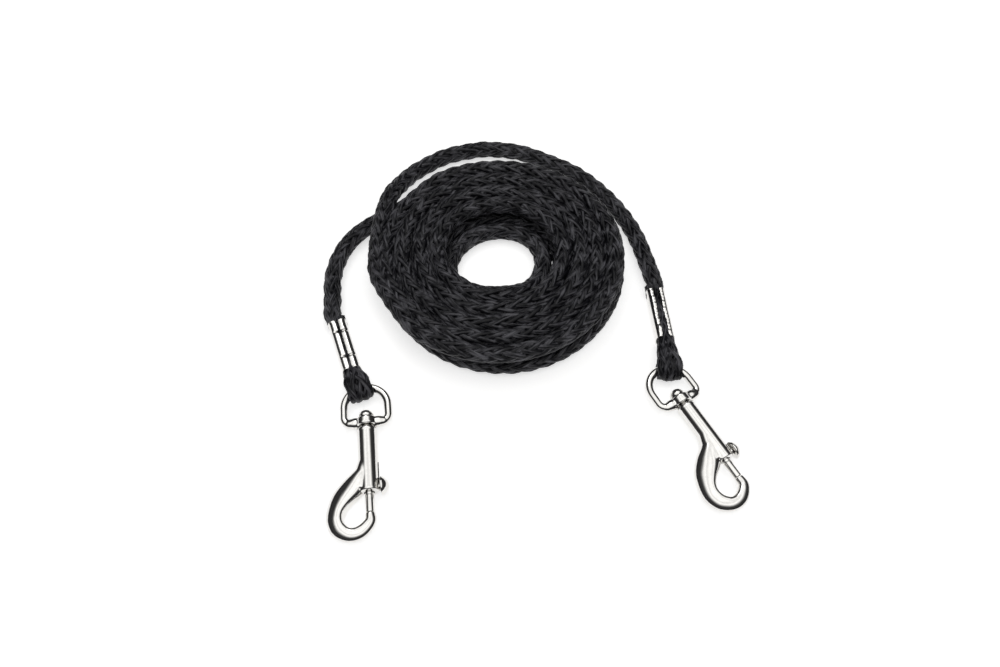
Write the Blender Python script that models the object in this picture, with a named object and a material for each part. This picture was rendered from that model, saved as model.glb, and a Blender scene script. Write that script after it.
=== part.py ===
"""Training leash: a braided cord wound in a coil, with a crimped loop and a swivel bolt snap on each end.

Sizes below are in millimetres and the model is in metres, +Z up. The leash lies on the plane z = 0.
The origin is on that plane, at the middle of the box round the two sets of metal hardware.
A snap has its own axes: U runs along the barrel from the swivel eye to the hook, V runs across it
away from the hook's back, and W points up. U = 0 is the collar's face that the eye turns against.
"""

import math

import bmesh
import bpy
from mathutils import Vector

MM = 0.001
GAP = 0.3  # left between pieces that touch

# Cord and coil
CORD_R = 3.5
COIL_CENTRE = (-10.6, 62.6)
COIL_INNER_R = 14.0
COIL_OUTER_R = 49.0
COIL_HEIGHT = 4 * CORD_R
COIL_SIDES = 56
LEAD_POINT_SPACING = 14.0
LEAD_END_TAPERS = (0.8, 0.62)  # the cord is squeezed where it enters its crimp
LEAD_END_SHIFT = 1.4
LEAD_END_RUN = 5.0  # straight stretch just before the crimp
LEAD_BEND_RUN = 3.0
TAIL_R = 1.7
TAIL_SHIFT = 2.9
TAIL_LENGTH = 3.4

# Crimp ferrules
FERRULE_LENGTH = 22.0
FERRULE_R = 3.5
FERRULE_WALL = 0.5
FERRULE_AXIS_Z = 3.55
FERRULE_CORE_R = 2.7
FERRULE_STEPS = 22

# Loop of doubled cord between a ferrule and its eye: distance along it, half width, lowest and highest.
# The first stations are measured from the ferrule's mouth, the others from the middle of the eye's wire.
LOOP_START = ((0.3, 3.0, 0.9, 6.3), (2.3, 3.4, 0.4, 6.8))
LOOP_STATIONS = (
    (-3.6, 4.5, 0.2, 7.7),
    (-1.0, 5.2, 0.1, 8.2),
    (1.5, 5.1, 0.1, 8.1),
    (3.6, 4.5, 0.5, 7.4),
    (5.4, 3.0, 1.9, 5.6),
)
LOOP_SIDES = 20
LOOP_SQUARENESS = 0.7  # 1 is an ellipse, less is nearer to a box
WIRE_ROOM_HALF_WIDTH = 6
WIRE_ROOM_STEP = 20  # degrees

# Swivel eye
AXIS_Z = 3.7  # height of the swivel's axis
EYE_WIRE_R = 1.4
EYE_HALF_WIDTH = 7.75
EYE_CORNER_R = 2.2
EYE_BAR_U = -1.9
EYE_ARC_U = -8.25  # centre of the round end
EYE_BAR_R = 1.7
BOSS_R = 3.6
BOSS_SPAN = (-3.5, -0.3)
BOSS_EDGE = 0.4
BOSS_BORE_R = 1.75
BOSS_BORE_SPAN = (-8.0, 4.0)

# Snap body
HEAD_PROFILE = ((-6.6, 0.0), (-6.4, 1.2), (-5.7, 2.2), (-4.8, 2.7), (-3.8, 2.5))
STEM_R = 1.45
COLLAR_R = 3.7
COLLAR_LENGTH = 2.4
COLLAR_EDGE = 0.3
BARREL_EDGE = 0.5
BARREL_R = 3.5
BARREL_END_U = 24.1
BORE_R = 1.8
BORE_START_U = 4.0
SLOT_SPAN = (13.6, 23.7)
SLOT_HALF_WIDTH = 1.2
SLOT_DEPTH = 6.0
SNAP_ROLL = 3.5  # the hook's bend rests on the ground

# The hook's middle line, with its half width and half thickness: back, bend, then tip
HOOK_LINE = (
    (14.0, -0.4, 3.1, 2.9),
    (18.0, -2.6, 3.4, 2.9),
    (21.5, -5.6, 3.8, 2.9),
    (26.0, -9.2, 3.7, 2.9),
    (30.6, -11.5, 3.1, 2.9),
    (35.3, -10.9, 2.9, 2.7),
    (37.5, -6.6, 2.6, 2.4),
    (36.8, -2.6, 2.4, 2.1),
    (34.2, -0.2, 2.0, 1.8),
    (31.4, 0.0, 1.7, 1.6),
)
HOOK_TIP_U = 31.4

# Spring bolt, its thumb knob and its spring
BOLT_R = 1.5
BOLT_SPAN = (17.4, 31.1)
BOLT_EDGE = 0.3
KNOB_U = 22.3
KNOB_PROFILE = (
    (1.8, 0.0),
    (1.8, 0.9),
    (3.9, 0.9),
    (3.9, 2.7),
    (4.3, 3.2),
    (5.0, 3.1),
    (5.9, 2.3),
    (6.5, 1.1),
    (6.7, 0.0),
)
SPRING_SPAN = (4.3, 17.1)
SPRING_R = 1.2
SPRING_WIRE_R = 0.2
SPRING_TURNS = 8
SPRING_POINTS_PER_TURN = 10

# Each end of the leash: the ferrule's mouth and heading, the snap's collar and heading, all from the
# coil's centre. tail_side is the side of the ferrule where the cord's cut end stands out.
ENDS = {
    "left": {
        "mouth": (-52.4, -49.0),
        "ferrule_heading": -69.9,
        "collar": (-45.1, -71.5),
        "snap_heading": -82.8,
        "tail_side": 1,
        "seam_half_angle": 4.0,
    },
    "right": {
        "mouth": (62.6, -35.3),
        "ferrule_heading": -85.8,
        "collar": (66.3, -62.6),
        "snap_heading": -61.6,
        "tail_side": -1,
        "seam_half_angle": 17.0,
    },
}

# Routes of the two leads from the coil to their ferrules: x and y from the coil's centre, then height
LEAD_ROUTES = {
    "left": (
        (-47.6, 23.4, 3.5),
        (-51.9, 20.1, 3.5),
        (-57.0, 15.0, 3.5),
        (-60.9, 8.5, 3.5),
        (-63.2, 0.8, 3.5),
        (-64.0, -7.5, 3.5),
        (-63.1, -16.1, 3.5),
    ),
    "right": (
        (-43.7, 30.3, 9.8),
        (-41.4, 37.5, 7.4),
        (-37.8, 45.3, 5.0),
        (-33.1, 51.4, 3.8),
        (-22.7, 59.1, 3.5),
        (-11.0, 62.8, 3.5),
        (-3.2, 63.7, 3.5),
        (9.5, 61.8, 3.5),
        (20.7, 56.7, 3.5),
        (33.3, 49.1, 3.5),
        (43.3, 38.7, 3.5),
        (50.8, 27.1, 3.5),
        (55.9, 15.3, 3.5),
        (58.8, 3.4, 3.5),
    ),
}

# Colour, roughness and metallic value
FINISHES = {
    "cord": ((0.012, 0.012, 0.014), 0.75, 0.0),
    "nickel": ((0.78, 0.77, 0.75), 0.14, 1.0),
    "steel": ((0.45, 0.45, 0.46), 0.35, 1.0),
}


def finished(name, finish):
    colour, roughness, metallic = FINISHES[finish]
    material = bpy.data.materials.new(name)
    material.use_nodes = True
    shader = material.node_tree.nodes["Principled BSDF"]
    shader.inputs["Base Color"].default_value = (*colour, 1.0)
    shader.inputs["Roughness"].default_value = roughness
    shader.inputs["Metallic"].default_value = metallic
    return material


def place(obj, parent=None, location=(0, 0, 0), rotation=(0, 0, 0)):
    """Location in millimetres and rotation in degrees, under the parent."""
    bpy.context.scene.collection.objects.link(obj)
    obj.parent = parent
    obj.location = Vector(location) * MM
    obj.rotation_euler = [math.radians(angle) for angle in rotation]
    return obj


def empty(name, **where):
    return place(bpy.data.objects.new(name, None), **where)


def mesh_object(name, bm, finish=None, **where):
    """An object from a bmesh in millimetres. With no finish it is a guide that cuts or joins another."""
    bmesh.ops.recalc_face_normals(bm, faces=bm.faces)
    bmesh.ops.scale(bm, vec=(MM, MM, MM), verts=bm.verts)
    mesh = bpy.data.meshes.new(name)
    bm.to_mesh(mesh)
    bm.free()
    mesh.shade_smooth()
    mesh.set_sharp_from_angle(angle=math.radians(40))
    obj = place(bpy.data.objects.new(name, mesh), **where)
    if finish:
        mesh.materials.append(finished(name, finish))
    else:
        obj.hide_render = True
        obj.display_type = "WIRE"
    return obj


def combine(target, tool, operation):
    boolean = target.modifiers.new(tool.name, "BOOLEAN")
    boolean.operation = operation
    boolean.solver = "EXACT"
    boolean.object = tool


def bridge(bm, ring, following):
    """Faces between two rings of vertices, either of which may be a single point."""
    count = max(len(ring), len(following))
    for k in range(count):
        corners = [ring[k % len(ring)], ring[(k + 1) % len(ring)]]
        corners += [following[(k + 1) % len(following)], following[k % len(following)]]
        unique = list(dict.fromkeys(corners))
        bm.faces.new(unique)


def skin(rings, closed=False):
    """A closed surface through rings of points. Its ends are filled, or joined where it is closed."""
    bm = bmesh.new()
    made = [[bm.verts.new(point) for point in ring] for ring in rings]
    for ring, following in zip(made, made[1:]):
        bridge(bm, ring, following)
    if closed:
        bridge(bm, made[-1], made[0])
    else:
        for ring in (made[0], made[-1]):
            if len(ring) > 2:
                bm.faces.new(ring)
    return bm


def turned(profile, sides, closed=False):
    """A shape turned about U from pairs of distance along U and radius."""
    rings = []
    for along, radius in profile:
        angles = [math.tau * k / sides for k in range(sides if radius else 1)]
        rings.append([(along, radius * math.cos(a), radius * math.sin(a)) for a in angles])
    return skin(rings, closed)


def rod(start, stop, radius, sides, edge=0.0):
    """A round rod along U. An edge above zero chamfers both its ends."""
    profile = [(start, 0), (start, radius - edge)]
    if edge:
        profile += [(start + edge, radius), (stop - edge, radius)]
    return turned([*profile, (stop, radius - edge), (stop, 0)], sides)


def smooth_line(points, steps):
    """Catmull-Rom curve through points of any number of values, with steps to each span."""
    points = [Vector(p) for p in points]
    padded = [2 * points[0] - points[1], *points, 2 * points[-1] - points[-2]]
    line = []
    for before, a, b, after in zip(padded, padded[1:], padded[2:], padded[3:]):
        for k in range(steps):
            t = k / steps
            bend = 2 * before - 5 * a + 4 * b - after
            swing = 3 * a - before - 3 * b + after
            line.append(a + (t * (b - before) + t * t * bend + t**3 * swing) / 2)
    return [*line, points[-1]]


def evenly(line, spacing):
    """The same line with its points about one spacing apart."""
    lengths = [0.0]
    for a, b in zip(line, line[1:]):
        lengths.append(lengths[-1] + (b - a).length)
    count = max(2, round(lengths[-1] / spacing))
    even, span = [], 0
    for k in range(count + 1):
        wanted = lengths[-1] * k / count
        while span < len(line) - 2 and lengths[span + 1] < wanted:
            span += 1
        share = (wanted - lengths[span]) / (lengths[span + 1] - lengths[span])
        even.append(line[span].lerp(line[span + 1], share))
    return even


def wire(name, points, radius, finish, resolution, tapers=None, **where):
    """A round wire or cord along points in millimetres, as a curve with filled ends."""
    curve = bpy.data.curves.new(name, "CURVE")
    curve.dimensions = "3D"
    curve.bevel_depth = radius * MM
    curve.bevel_resolution = resolution
    curve.use_fill_caps = True
    spline = curve.splines.new("POLY")
    spline.points.add(len(points) - 1)
    for k, (point, position) in enumerate(zip(spline.points, points)):
        point.co = (*(Vector(position) * MM), 1.0)
        point.radius = tapers[k] if tapers else 1.0
    spline.use_smooth = True
    curve.materials.append(finished(name, finish))
    return place(bpy.data.objects.new(name, curve), **where)


def from_coil(point):
    return Vector((point[0] + COIL_CENTRE[0], point[1] + COIL_CENTRE[1]))


def heading(degrees):
    return Vector((math.cos(math.radians(degrees)), math.sin(math.radians(degrees))))


def make_coil():
    """A turned ring of the coil's outer shape, with its edges rounded to the cord."""
    corners = (
        (COIL_INNER_R, 0.0, 180),
        (COIL_INNER_R, COIL_HEIGHT, 90),
        (COIL_OUTER_R, COIL_HEIGHT, 0),
        (COIL_OUTER_R, 0.0, -90),
    )
    profile = []
    for radius, height, start in corners:
        middle_r = radius + CORD_R * (1 if radius == COIL_INNER_R else -1)
        middle_z = height + CORD_R * (1 if height == 0 else -1)
        angles = (start + 90, start + 45, start) if height else (start + 90, start + 45, start)
        for angle in angles:
            turn = heading(angle)
            profile.append((middle_r + CORD_R * turn.x, middle_z + CORD_R * turn.y))
    rings = []
    for k in range(COIL_SIDES):
        out = heading(360 * k / COIL_SIDES)
        rings.append([(radius * out.x, radius * out.y, height) for radius, height in profile])
    mesh_object("cord_coil", skin(rings, closed=True), "cord", location=(*COIL_CENTRE, 0))


def make_ferrule(side, end):
    """The crimp, the doubled cord inside it, the cord's cut end and the lead that comes in."""
    along = heading(end["ferrule_heading"])
    mouth = from_coil(end["mouth"])
    top = mouth - along * FERRULE_LENGTH
    where = {"location": (*top, FERRULE_AXIS_Z), "rotation": (0, 0, end["ferrule_heading"])}

    first = 90 + end["seam_half_angle"]
    sweep = 360 - 2 * end["seam_half_angle"]
    turns = [heading(first + sweep * k / FERRULE_STEPS) for k in range(FERRULE_STEPS + 1)]
    outer = [turn * FERRULE_R for turn in turns]
    inner = [turn * (FERRULE_R - FERRULE_WALL) for turn in reversed(turns)]
    section = outer + inner
    rings = [[(u, p.x, p.y) for p in section] for u in (0.0, FERRULE_LENGTH)]
    mesh_object(f"ferrule_{side}", skin(rings), "nickel", **where)

    mesh_object(f"cord_core_{side}", rod(0, FERRULE_LENGTH, FERRULE_CORE_R, 20), "cord", **where)

    across = Vector((-along.y, along.x)) * end["tail_side"]
    beside = top + across * TAIL_SHIFT
    tail = rod(-TAIL_LENGTH, -GAP, TAIL_R, 12)
    mesh_object(f"cord_tail_{side}", tail, "cord", **{**where, "location": (*beside, FERRULE_AXIS_Z)})

    lead_end = top - along * GAP - across * LEAD_END_SHIFT
    before_end = lead_end - along * LEAD_END_RUN
    line = [(*from_coil(point), point[2]) for point in LEAD_ROUTES[side]]
    bend = before_end - along * LEAD_BEND_RUN + across * LEAD_END_SHIFT
    line.append((*bend, CORD_R))
    points = evenly(smooth_line(line, 12), LEAD_POINT_SPACING)
    points += [Vector((*before_end, CORD_R)), Vector((*lead_end, FERRULE_AXIS_Z))]
    tapers = [1.0] * (len(points) - 2) + [*LEAD_END_TAPERS]
    wire(f"cord_lead_{side}", points, CORD_R, "cord", 3, tapers)


def eye_line(steps=18):
    """Middle of the eye's wire along its round end, in U and V."""
    line = []
    for k in range(steps + 1):
        turn = heading(180 * k / steps)
        line.append(Vector((EYE_ARC_U - EYE_HALF_WIDTH * turn.y, EYE_HALF_WIDTH * turn.x)))
    return line


def tube_rings(line, radius, sides, closed=False):
    """Rings round a line in the plane of U and V."""
    rings = []
    for k, point in enumerate(line):
        ahead = line[(k + 1) % len(line)] if closed else line[min(k + 1, len(line) - 1)]
        behind = line[k - 1] if closed else line[max(k - 1, 0)]
        along = (ahead - behind).normalized()
        ring = []
        for j in range(sides):
            turn = heading(360 * j / sides)
            out = Vector((-along.y, along.x)) * turn.x * radius
            ring.append((point.x + out.x, point.y + out.y, turn.y * radius))
        rings.append(ring)
    return rings


def wire_room_rings():
    """The space that the eye's wire sweeps as it lifts by a quarter turn, with its clearance."""
    reach = EYE_WIRE_R + GAP
    rings = []
    for across in range(-WIRE_ROOM_HALF_WIDTH, WIRE_ROOM_HALF_WIDTH + 1):
        depth = math.sqrt(EYE_HALF_WIDTH**2 - across**2)
        drop = EYE_HALF_WIDTH - depth
        slant = EYE_HALF_WIDTH / depth  # the wire is cut at a slant here
        ring = []
        for degrees in range(-90, 270, WIRE_ROOM_STEP):
            lifted = min(max(degrees, 0), 90) if degrees < 225 else 0
            out = heading(lifted)
            turn = heading(degrees - lifted) * reach
            point = out * (drop + turn.x * slant) + Vector((-out.y, out.x)) * turn.y
            ring.append((point.x, across, point.y))
        rings.append(ring)
    return rings


def make_loop(side, end, wire_point, pull):
    """The doubled cord from the ferrule's mouth round the eye's wire, with room for the wire to turn."""
    mouth = -(from_coil(end["mouth"]) - wire_point).length
    stations = [(mouth + along, *rest) for along, *rest in LOOP_START] + [*LOOP_STATIONS]
    rings = []
    for along, half_width, low, high in stations:
        ring = []
        for k in range(LOOP_SIDES):
            turn = heading(360 * k / LOOP_SIDES)
            across = half_width * math.copysign(abs(turn.x) ** LOOP_SQUARENESS, turn.x)
            height = (high - low) / 2 * math.copysign(abs(turn.y) ** LOOP_SQUARENESS, turn.y)
            ring.append((along, across, (high + low) / 2 + height - AXIS_Z))
        rings.append(ring)
    angle = math.degrees(math.atan2(pull.y, pull.x))
    guide = {"location": (*wire_point, AXIS_Z), "rotation": (0, 0, angle)}
    loop = mesh_object(f"cord_loop_{side}", skin(rings), "cord", **guide)

    combine(loop, mesh_object(f"wire_room_{side}", skin(wire_room_rings()), **guide), "DIFFERENCE")


def make_eye(side, pivot, at_collar):
    """D-shaped wire eye whose thick bar carries a boss that turns on the snap's stem."""
    corner = EYE_CORNER_R
    inside = EYE_HALF_WIDTH - corner
    line = eye_line()
    for centre_v, first in ((-inside, 180), (inside, 270)):
        for k in range(5):
            turn = heading(first + 90 * k / 4)
            line.append(Vector((EYE_BAR_U - corner - turn.y * corner, centre_v + turn.x * corner)))
    bm = skin(tube_rings(line, EYE_WIRE_R, 12, closed=True), closed=True)
    eye = mesh_object(f"swivel_eye_{side}", bm, "nickel", parent=pivot, location=at_collar)

    bar_where = {"location": Vector(at_collar) + Vector((EYE_BAR_U, 0, 0)), "rotation": (0, 0, 90)}
    bar = mesh_object(f"eye_bar_{side}", rod(-inside, inside, EYE_BAR_R, 16), parent=pivot, **bar_where)
    combine(eye, bar, "UNION")
    at_boss = {"parent": pivot, "location": at_collar}
    boss = mesh_object(f"eye_boss_{side}", rod(*BOSS_SPAN, BOSS_R, 28, BOSS_EDGE), **at_boss)
    combine(eye, boss, "UNION")
    bore = mesh_object(f"eye_bore_{side}", rod(*BOSS_BORE_SPAN, BOSS_BORE_R, 20), **at_boss)
    combine(eye, bore, "DIFFERENCE")


def hook_rings(sides=16):
    line = smooth_line(HOOK_LINE, 3)
    rings = []
    for k, here in enumerate(line):
        step = line[min(k + 1, len(line) - 1)] - line[max(k - 1, 0)]
        along = Vector((step[0], step[1])).normalized()
        ring = []
        for j in range(sides):
            turn = heading(360 * j / sides)
            out = Vector((-along.y, along.x)) * turn.x * here[2]
            ring.append((here[0] + out.x, here[1] + out.y, turn.y * here[3]))
        rings.append(ring)
    return rings


def make_body(side, swivel):
    """Barrel, hook and the peened stem that holds the eye, cast in one."""
    profile = (
        *HEAD_PROFILE,
        (BOSS_SPAN[0] - GAP, STEM_R),
        (0, STEM_R),
        (0, COLLAR_R - COLLAR_EDGE),
        (COLLAR_EDGE, COLLAR_R),
        (COLLAR_LENGTH, COLLAR_R),
        (COLLAR_LENGTH + COLLAR_EDGE, BARREL_R),
        (BARREL_END_U - BARREL_EDGE, BARREL_R),
        (BARREL_END_U, BARREL_R - BARREL_EDGE),
        (BARREL_END_U, 0),
    )
    body = mesh_object(f"snap_body_{side}", turned(profile, 28), "nickel", parent=swivel)
    hook = mesh_object(f"hook_{side}", skin(hook_rings()), parent=swivel)
    combine(body, hook, "UNION")

    bore = rod(BORE_START_U, HOOK_TIP_U, BORE_R, 20)
    combine(body, mesh_object(f"bolt_bore_{side}", bore, parent=swivel), "DIFFERENCE")
    half = SLOT_HALF_WIDTH
    square = ((0.0, -half), (SLOT_DEPTH, -half), (SLOT_DEPTH, half), (0.0, half))
    slot = skin([[(u, v, w) for v, w in square] for u in SLOT_SPAN])
    combine(body, mesh_object(f"knob_slot_{side}", slot, parent=swivel), "DIFFERENCE")


def make_bolt(side, slide):
    """Spring bolt and the knob riveted to it through the barrel's slot."""
    start, stop = BOLT_SPAN
    bolt = rod(start - KNOB_U, stop - KNOB_U, BOLT_R, 20, BOLT_EDGE)
    mesh_object(f"snap_bolt_{side}", bolt, "nickel", parent=slide)
    mesh_object(f"thumb_knob_{side}", turned(KNOB_PROFILE, 20), "nickel", parent=slide, rotation=(0, 0, 90))


def make_spring(side, swivel):
    start, stop = SPRING_SPAN
    count = SPRING_TURNS * SPRING_POINTS_PER_TURN
    points = []
    for k in range(count + 1):
        turn = heading(360 * k / SPRING_POINTS_PER_TURN) * SPRING_R
        points.append((start + (stop - start) * k / count, turn.x, turn.y))
    wire(f"bolt_spring_{side}", points, SPRING_WIRE_R, "steel", 2, parent=swivel)


def make_end(side, end):
    """Everything on one end of the leash."""
    make_ferrule(side, end)
    collar = from_coil(end["collar"])
    direction = heading(end["snap_heading"])
    arc_centre = collar + direction * EYE_ARC_U
    pull = (arc_centre - from_coil(end["mouth"])).normalized()
    wire_point = arc_centre - pull * EYE_HALF_WIDTH
    make_loop(side, end, wire_point, pull)

    turn = (0, 0, end["snap_heading"])
    pivot = empty(f"eye_pivot_{side}", location=(*wire_point, AXIS_Z), rotation=turn)
    reach = collar - wire_point
    across = Vector((-direction.y, direction.x))
    at_collar = (reach.dot(direction), reach.dot(across), 0)
    make_eye(side, pivot, at_collar)
    swivel = empty(f"swivel_axis_{side}", parent=pivot, location=at_collar, rotation=(SNAP_ROLL, 0, 0))
    make_body(side, swivel)
    slide = empty(f"bolt_axis_{side}", parent=swivel, location=(KNOB_U, 0, 0))
    make_bolt(side, slide)
    make_spring(side, swivel)


def main():
    for obj in list(bpy.data.objects):
        bpy.data.objects.remove(obj, do_unlink=True)
    make_coil()
    for side, end in ENDS.items():
        make_end(side, end)


main()
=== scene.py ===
import math
import random

import bmesh
import bpy
from mathutils import Matrix, Vector


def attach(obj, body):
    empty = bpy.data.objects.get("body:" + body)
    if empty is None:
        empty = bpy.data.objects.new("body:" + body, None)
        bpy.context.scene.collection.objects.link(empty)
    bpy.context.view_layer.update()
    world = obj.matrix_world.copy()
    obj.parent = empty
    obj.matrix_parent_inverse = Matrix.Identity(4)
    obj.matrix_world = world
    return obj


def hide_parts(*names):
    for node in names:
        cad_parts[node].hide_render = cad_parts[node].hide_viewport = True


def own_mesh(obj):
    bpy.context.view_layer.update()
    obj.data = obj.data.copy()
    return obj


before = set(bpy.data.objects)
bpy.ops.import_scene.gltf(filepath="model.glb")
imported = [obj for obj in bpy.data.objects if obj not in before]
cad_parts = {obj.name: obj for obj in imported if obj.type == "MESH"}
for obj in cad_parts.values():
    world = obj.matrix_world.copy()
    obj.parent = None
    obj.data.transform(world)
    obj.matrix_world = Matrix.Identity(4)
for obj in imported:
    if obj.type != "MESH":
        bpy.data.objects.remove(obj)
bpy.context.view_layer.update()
print("frame loaded")

mm = 0.001
coilCentre = Vector((-10.6, 62.6, 0.0))  # every place below is measured from it, in millimetres
sides = ("left", "right")


def heading(degrees):
    angle = math.radians(degrees)
    return Vector((math.cos(angle), math.sin(angle), 0.0))


def across(direction):
    return Vector((-direction.y, direction.x, 0.0))


def smoothLine(points, steps):  # Catmull-Rom, for points of any number of values
    points = [Vector(p) for p in points]
    padded = [2 * points[0] - points[1], *points, 2 * points[-1] - points[-2]]
    line = []
    for before, a, b, after in zip(padded, padded[1:], padded[2:], padded[3:]):
        for k in range(steps):
            t = k / steps
            bend = 2 * before - 5 * a + 4 * b - after
            swing = 3 * a - before - 3 * b + after
            line.append(a + (t * (b - before) + t * t * bend + t**3 * swing) / 2)
    return [*line, points[-1]]


def evenly(line, spacing):  # the same line one spacing apart; a point starts with its place
    lengths = [0.0]
    for a, b in zip(line, line[1:]):
        lengths.append(lengths[-1] + (Vector(b[:3]) - Vector(a[:3])).length)
    count = max(2, round(lengths[-1] / spacing))
    even, span = [], 0
    for k in range(count + 1):
        wanted = lengths[-1] * k / count
        while span < len(line) - 2 and lengths[span + 1] < wanted:
            span += 1
        share = (wanted - lengths[span]) / (lengths[span + 1] - lengths[span])
        even.append(line[span].lerp(line[span + 1], share))
    return even


def lineLength(line):
    return sum((b - a).length for a, b in zip(line, line[1:]))


def hump(x, centre, width):
    return math.exp(-(((x - centre) / width) ** 2))


def eased(share):  # from 0 to 1 with a soft start and a soft stop
    return share * share * (3 - 2 * share)


class Wire:  # a socket that takes part in sums
    def __init__(self, graph, socket):
        self.graph = graph
        self.socket = socket

    def maths(self, operation, *values):
        inputs = dict(enumerate(values))
        return self.graph.add("ShaderNodeMath", {"operation": operation}, inputs)

    def __add__(self, other):
        return self.maths("ADD", self, other)

    def __radd__(self, other):
        return self.maths("ADD", other, self)

    def __sub__(self, other):
        return self.maths("SUBTRACT", self, other)

    def __rsub__(self, other):
        return self.maths("SUBTRACT", other, self)

    def __mul__(self, other):
        return self.maths("MULTIPLY", self, other)

    def __rmul__(self, other):
        return self.maths("MULTIPLY", other, self)

    def __truediv__(self, other):
        return self.maths("DIVIDE", self, other)

    def cos(self):
        return self.maths("COSINE", self)

    def sin(self):
        return self.maths("SINE", self)


class Graph:  # adds nodes: settings first, then the values or links of the inputs
    def __init__(self, tree):
        self.tree = tree

    def add(self, kind, settings=None, inputs=None, out=0):
        node = self.tree.nodes.new(kind)
        for name, value in (settings or {}).items():
            if name == "stops":
                self.setStops(node.color_ramp, value)
            else:
                setattr(node, name, value)
        for name, value in (inputs or {}).items():
            self.fill(node.inputs[name], value)
        return Wire(self, node.outputs[out])

    def fill(self, socket, value):
        if isinstance(value, Wire):
            self.tree.links.new(value.socket, socket)
        else:
            socket.default_value = value

    def setStops(self, ramp, stops):
        while len(ramp.elements) < len(stops):
            ramp.elements.new(0.5)
        for element, (position, colour) in zip(ramp.elements, stops):
            element.position = position
            element.color = colour

    def scaled(self, vector, factor):
        inputs = {"Vector": vector, "Scale": factor}
        return self.add("ShaderNodeVectorMath", {"operation": "SCALE"}, inputs)

    def joined(self, a, b, operation="ADD"):
        return self.add("ShaderNodeVectorMath", {"operation": operation}, {0: a, 1: b})


def newMaterial(name):
    material = bpy.data.materials.new(name)
    material.use_nodes = True
    shader = material.node_tree.nodes["Principled BSDF"]
    return material, Graph(material.node_tree), shader


cordLook = {
    "shade": (0.004, 0.004, 0.006, 1),
    # painted highlight: a pale grey base colour that stands in for the sheen of the yarns under the lamp
    "paintedSheen": (0.110, 0.109, 0.122, 1),
    "roughness": 0.42,
    "filamentsAcross": 1500.0,  # per metre
    "filamentsAlong": 150.0,
    "strandShift": 7.3,  # so that no two strands carry the same filament streaks and painted sheen
    "patchScale": 230.0,
    "streakShare": 0.62,  # the rest of the painted sheen comes from the patches
    "shineRange": (0.47, 0.64),
    "roughnessChange": 0.25,
    "relief": 0.00020,
    "reliefStrength": 0.8,
    "specular": 0.22,
}


def makeCordMaterial():
    look = cordLook
    material, graph, shader = newMaterial("black_braid")
    along = graph.add("ShaderNodeAttribute", {"attribute_name": "alongStrand"}, out="Fac")
    over = graph.add("ShaderNodeAttribute", {"attribute_name": "acrossStrand"}, out="Fac")
    which = graph.add("ShaderNodeAttribute", {"attribute_name": "strandNumber"}, out="Fac")
    place = {
        "X": along * look["filamentsAlong"],
        "Y": over * look["filamentsAcross"],
        "Z": which * look["strandShift"],
    }
    stretched = graph.add("ShaderNodeCombineXYZ", inputs=place)
    filaments = graph.add(
        "ShaderNodeTexNoise", inputs={"Vector": stretched, "Scale": 1.0, "Detail": 2.0, "Roughness": 0.6}
    )
    spot = graph.add("ShaderNodeTexCoord", out="Object")
    patches = graph.add(
        "ShaderNodeTexNoise", inputs={"Vector": spot, "Scale": look["patchScale"], "Detail": 2.0}
    )
    share = look["streakShare"]
    # painted highlight: where filaments and patches run high, the black cord's base colour is mixed
    # towards the pale painted sheen
    paintedSheenStreaks = filaments * share + patches * (1 - share)
    dull, shiny = look["shineRange"]
    stops = ((dull, (0, 0, 0, 1)), (shiny, (1, 1, 1, 1)))
    mixing = graph.add("ShaderNodeValToRGB", {"stops": stops}, {"Fac": paintedSheenStreaks})
    colour = graph.add(
        "ShaderNodeMix",
        {"data_type": "RGBA"},
        {"Factor": mixing, 6: look["shade"], 7: look["paintedSheen"]},
        out=2,
    )
    graph.fill(shader.inputs["Base Color"], colour)
    roughness = look["roughness"] + (filaments - 0.5) * look["roughnessChange"]
    graph.fill(shader.inputs["Roughness"], roughness)
    bump = graph.add(
        "ShaderNodeBump",
        inputs={"Strength": look["reliefStrength"], "Distance": look["relief"], "Height": filaments},
    )
    graph.fill(shader.inputs["Normal"], bump)
    shader.inputs["Specular IOR Level"].default_value = look["specular"]
    return material


nickelLook = {
    "bright": (0.83, 0.82, 0.80, 1),
    "dull": (0.70, 0.69, 0.67, 1),
    "roughness": 0.085,
    "smearScale": 700.0,
    "smearRoughness": 0.08,
    "ripple": 0.00002,  # how deep, in metres
    "pits": 0.000004,
    "pitScale": 4200.0,
}


def makeNickelMaterial(name, extraRoughness=0.0, rippleScale=260.0):
    look = nickelLook
    material, graph, shader = newMaterial(name)
    spot = graph.add("ShaderNodeTexCoord", out="Object")
    noises = []
    for scale, detail in ((rippleScale, 2.0), (look["pitScale"], 3.0), (look["smearScale"], 4.0)):
        inputs = {"Vector": spot, "Scale": scale, "Detail": detail}
        noises.append(graph.add("ShaderNodeTexNoise", inputs=inputs))
    ripple, grain, smears = noises
    colour = graph.add(
        "ShaderNodeMix",
        {"data_type": "RGBA"},
        {"Factor": smears, 6: look["bright"], 7: look["dull"]},
        out=2,
    )
    graph.fill(shader.inputs["Base Color"], colour)
    roughness = look["roughness"] + extraRoughness + (smears - 0.5) * look["smearRoughness"]
    graph.fill(shader.inputs["Roughness"], roughness)
    wide = graph.add(
        "ShaderNodeBump", inputs={"Strength": 1.0, "Distance": look["ripple"], "Height": ripple}
    )
    fine = graph.add(
        "ShaderNodeBump",
        inputs={"Strength": 1.0, "Distance": look["pits"], "Height": grain, "Normal": wide},
    )
    graph.fill(shader.inputs["Normal"], fine)
    shader.inputs["Metallic"].default_value = 1.0
    return material


steelLook = {
    "shades": ((0.3, (0.32, 0.32, 0.33, 1)), (0.8, (0.52, 0.52, 0.52, 1))),
    "grainScale": 3000.0,
    "roughness": 0.25,
    "roughnessChange": 0.2,
}


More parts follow.
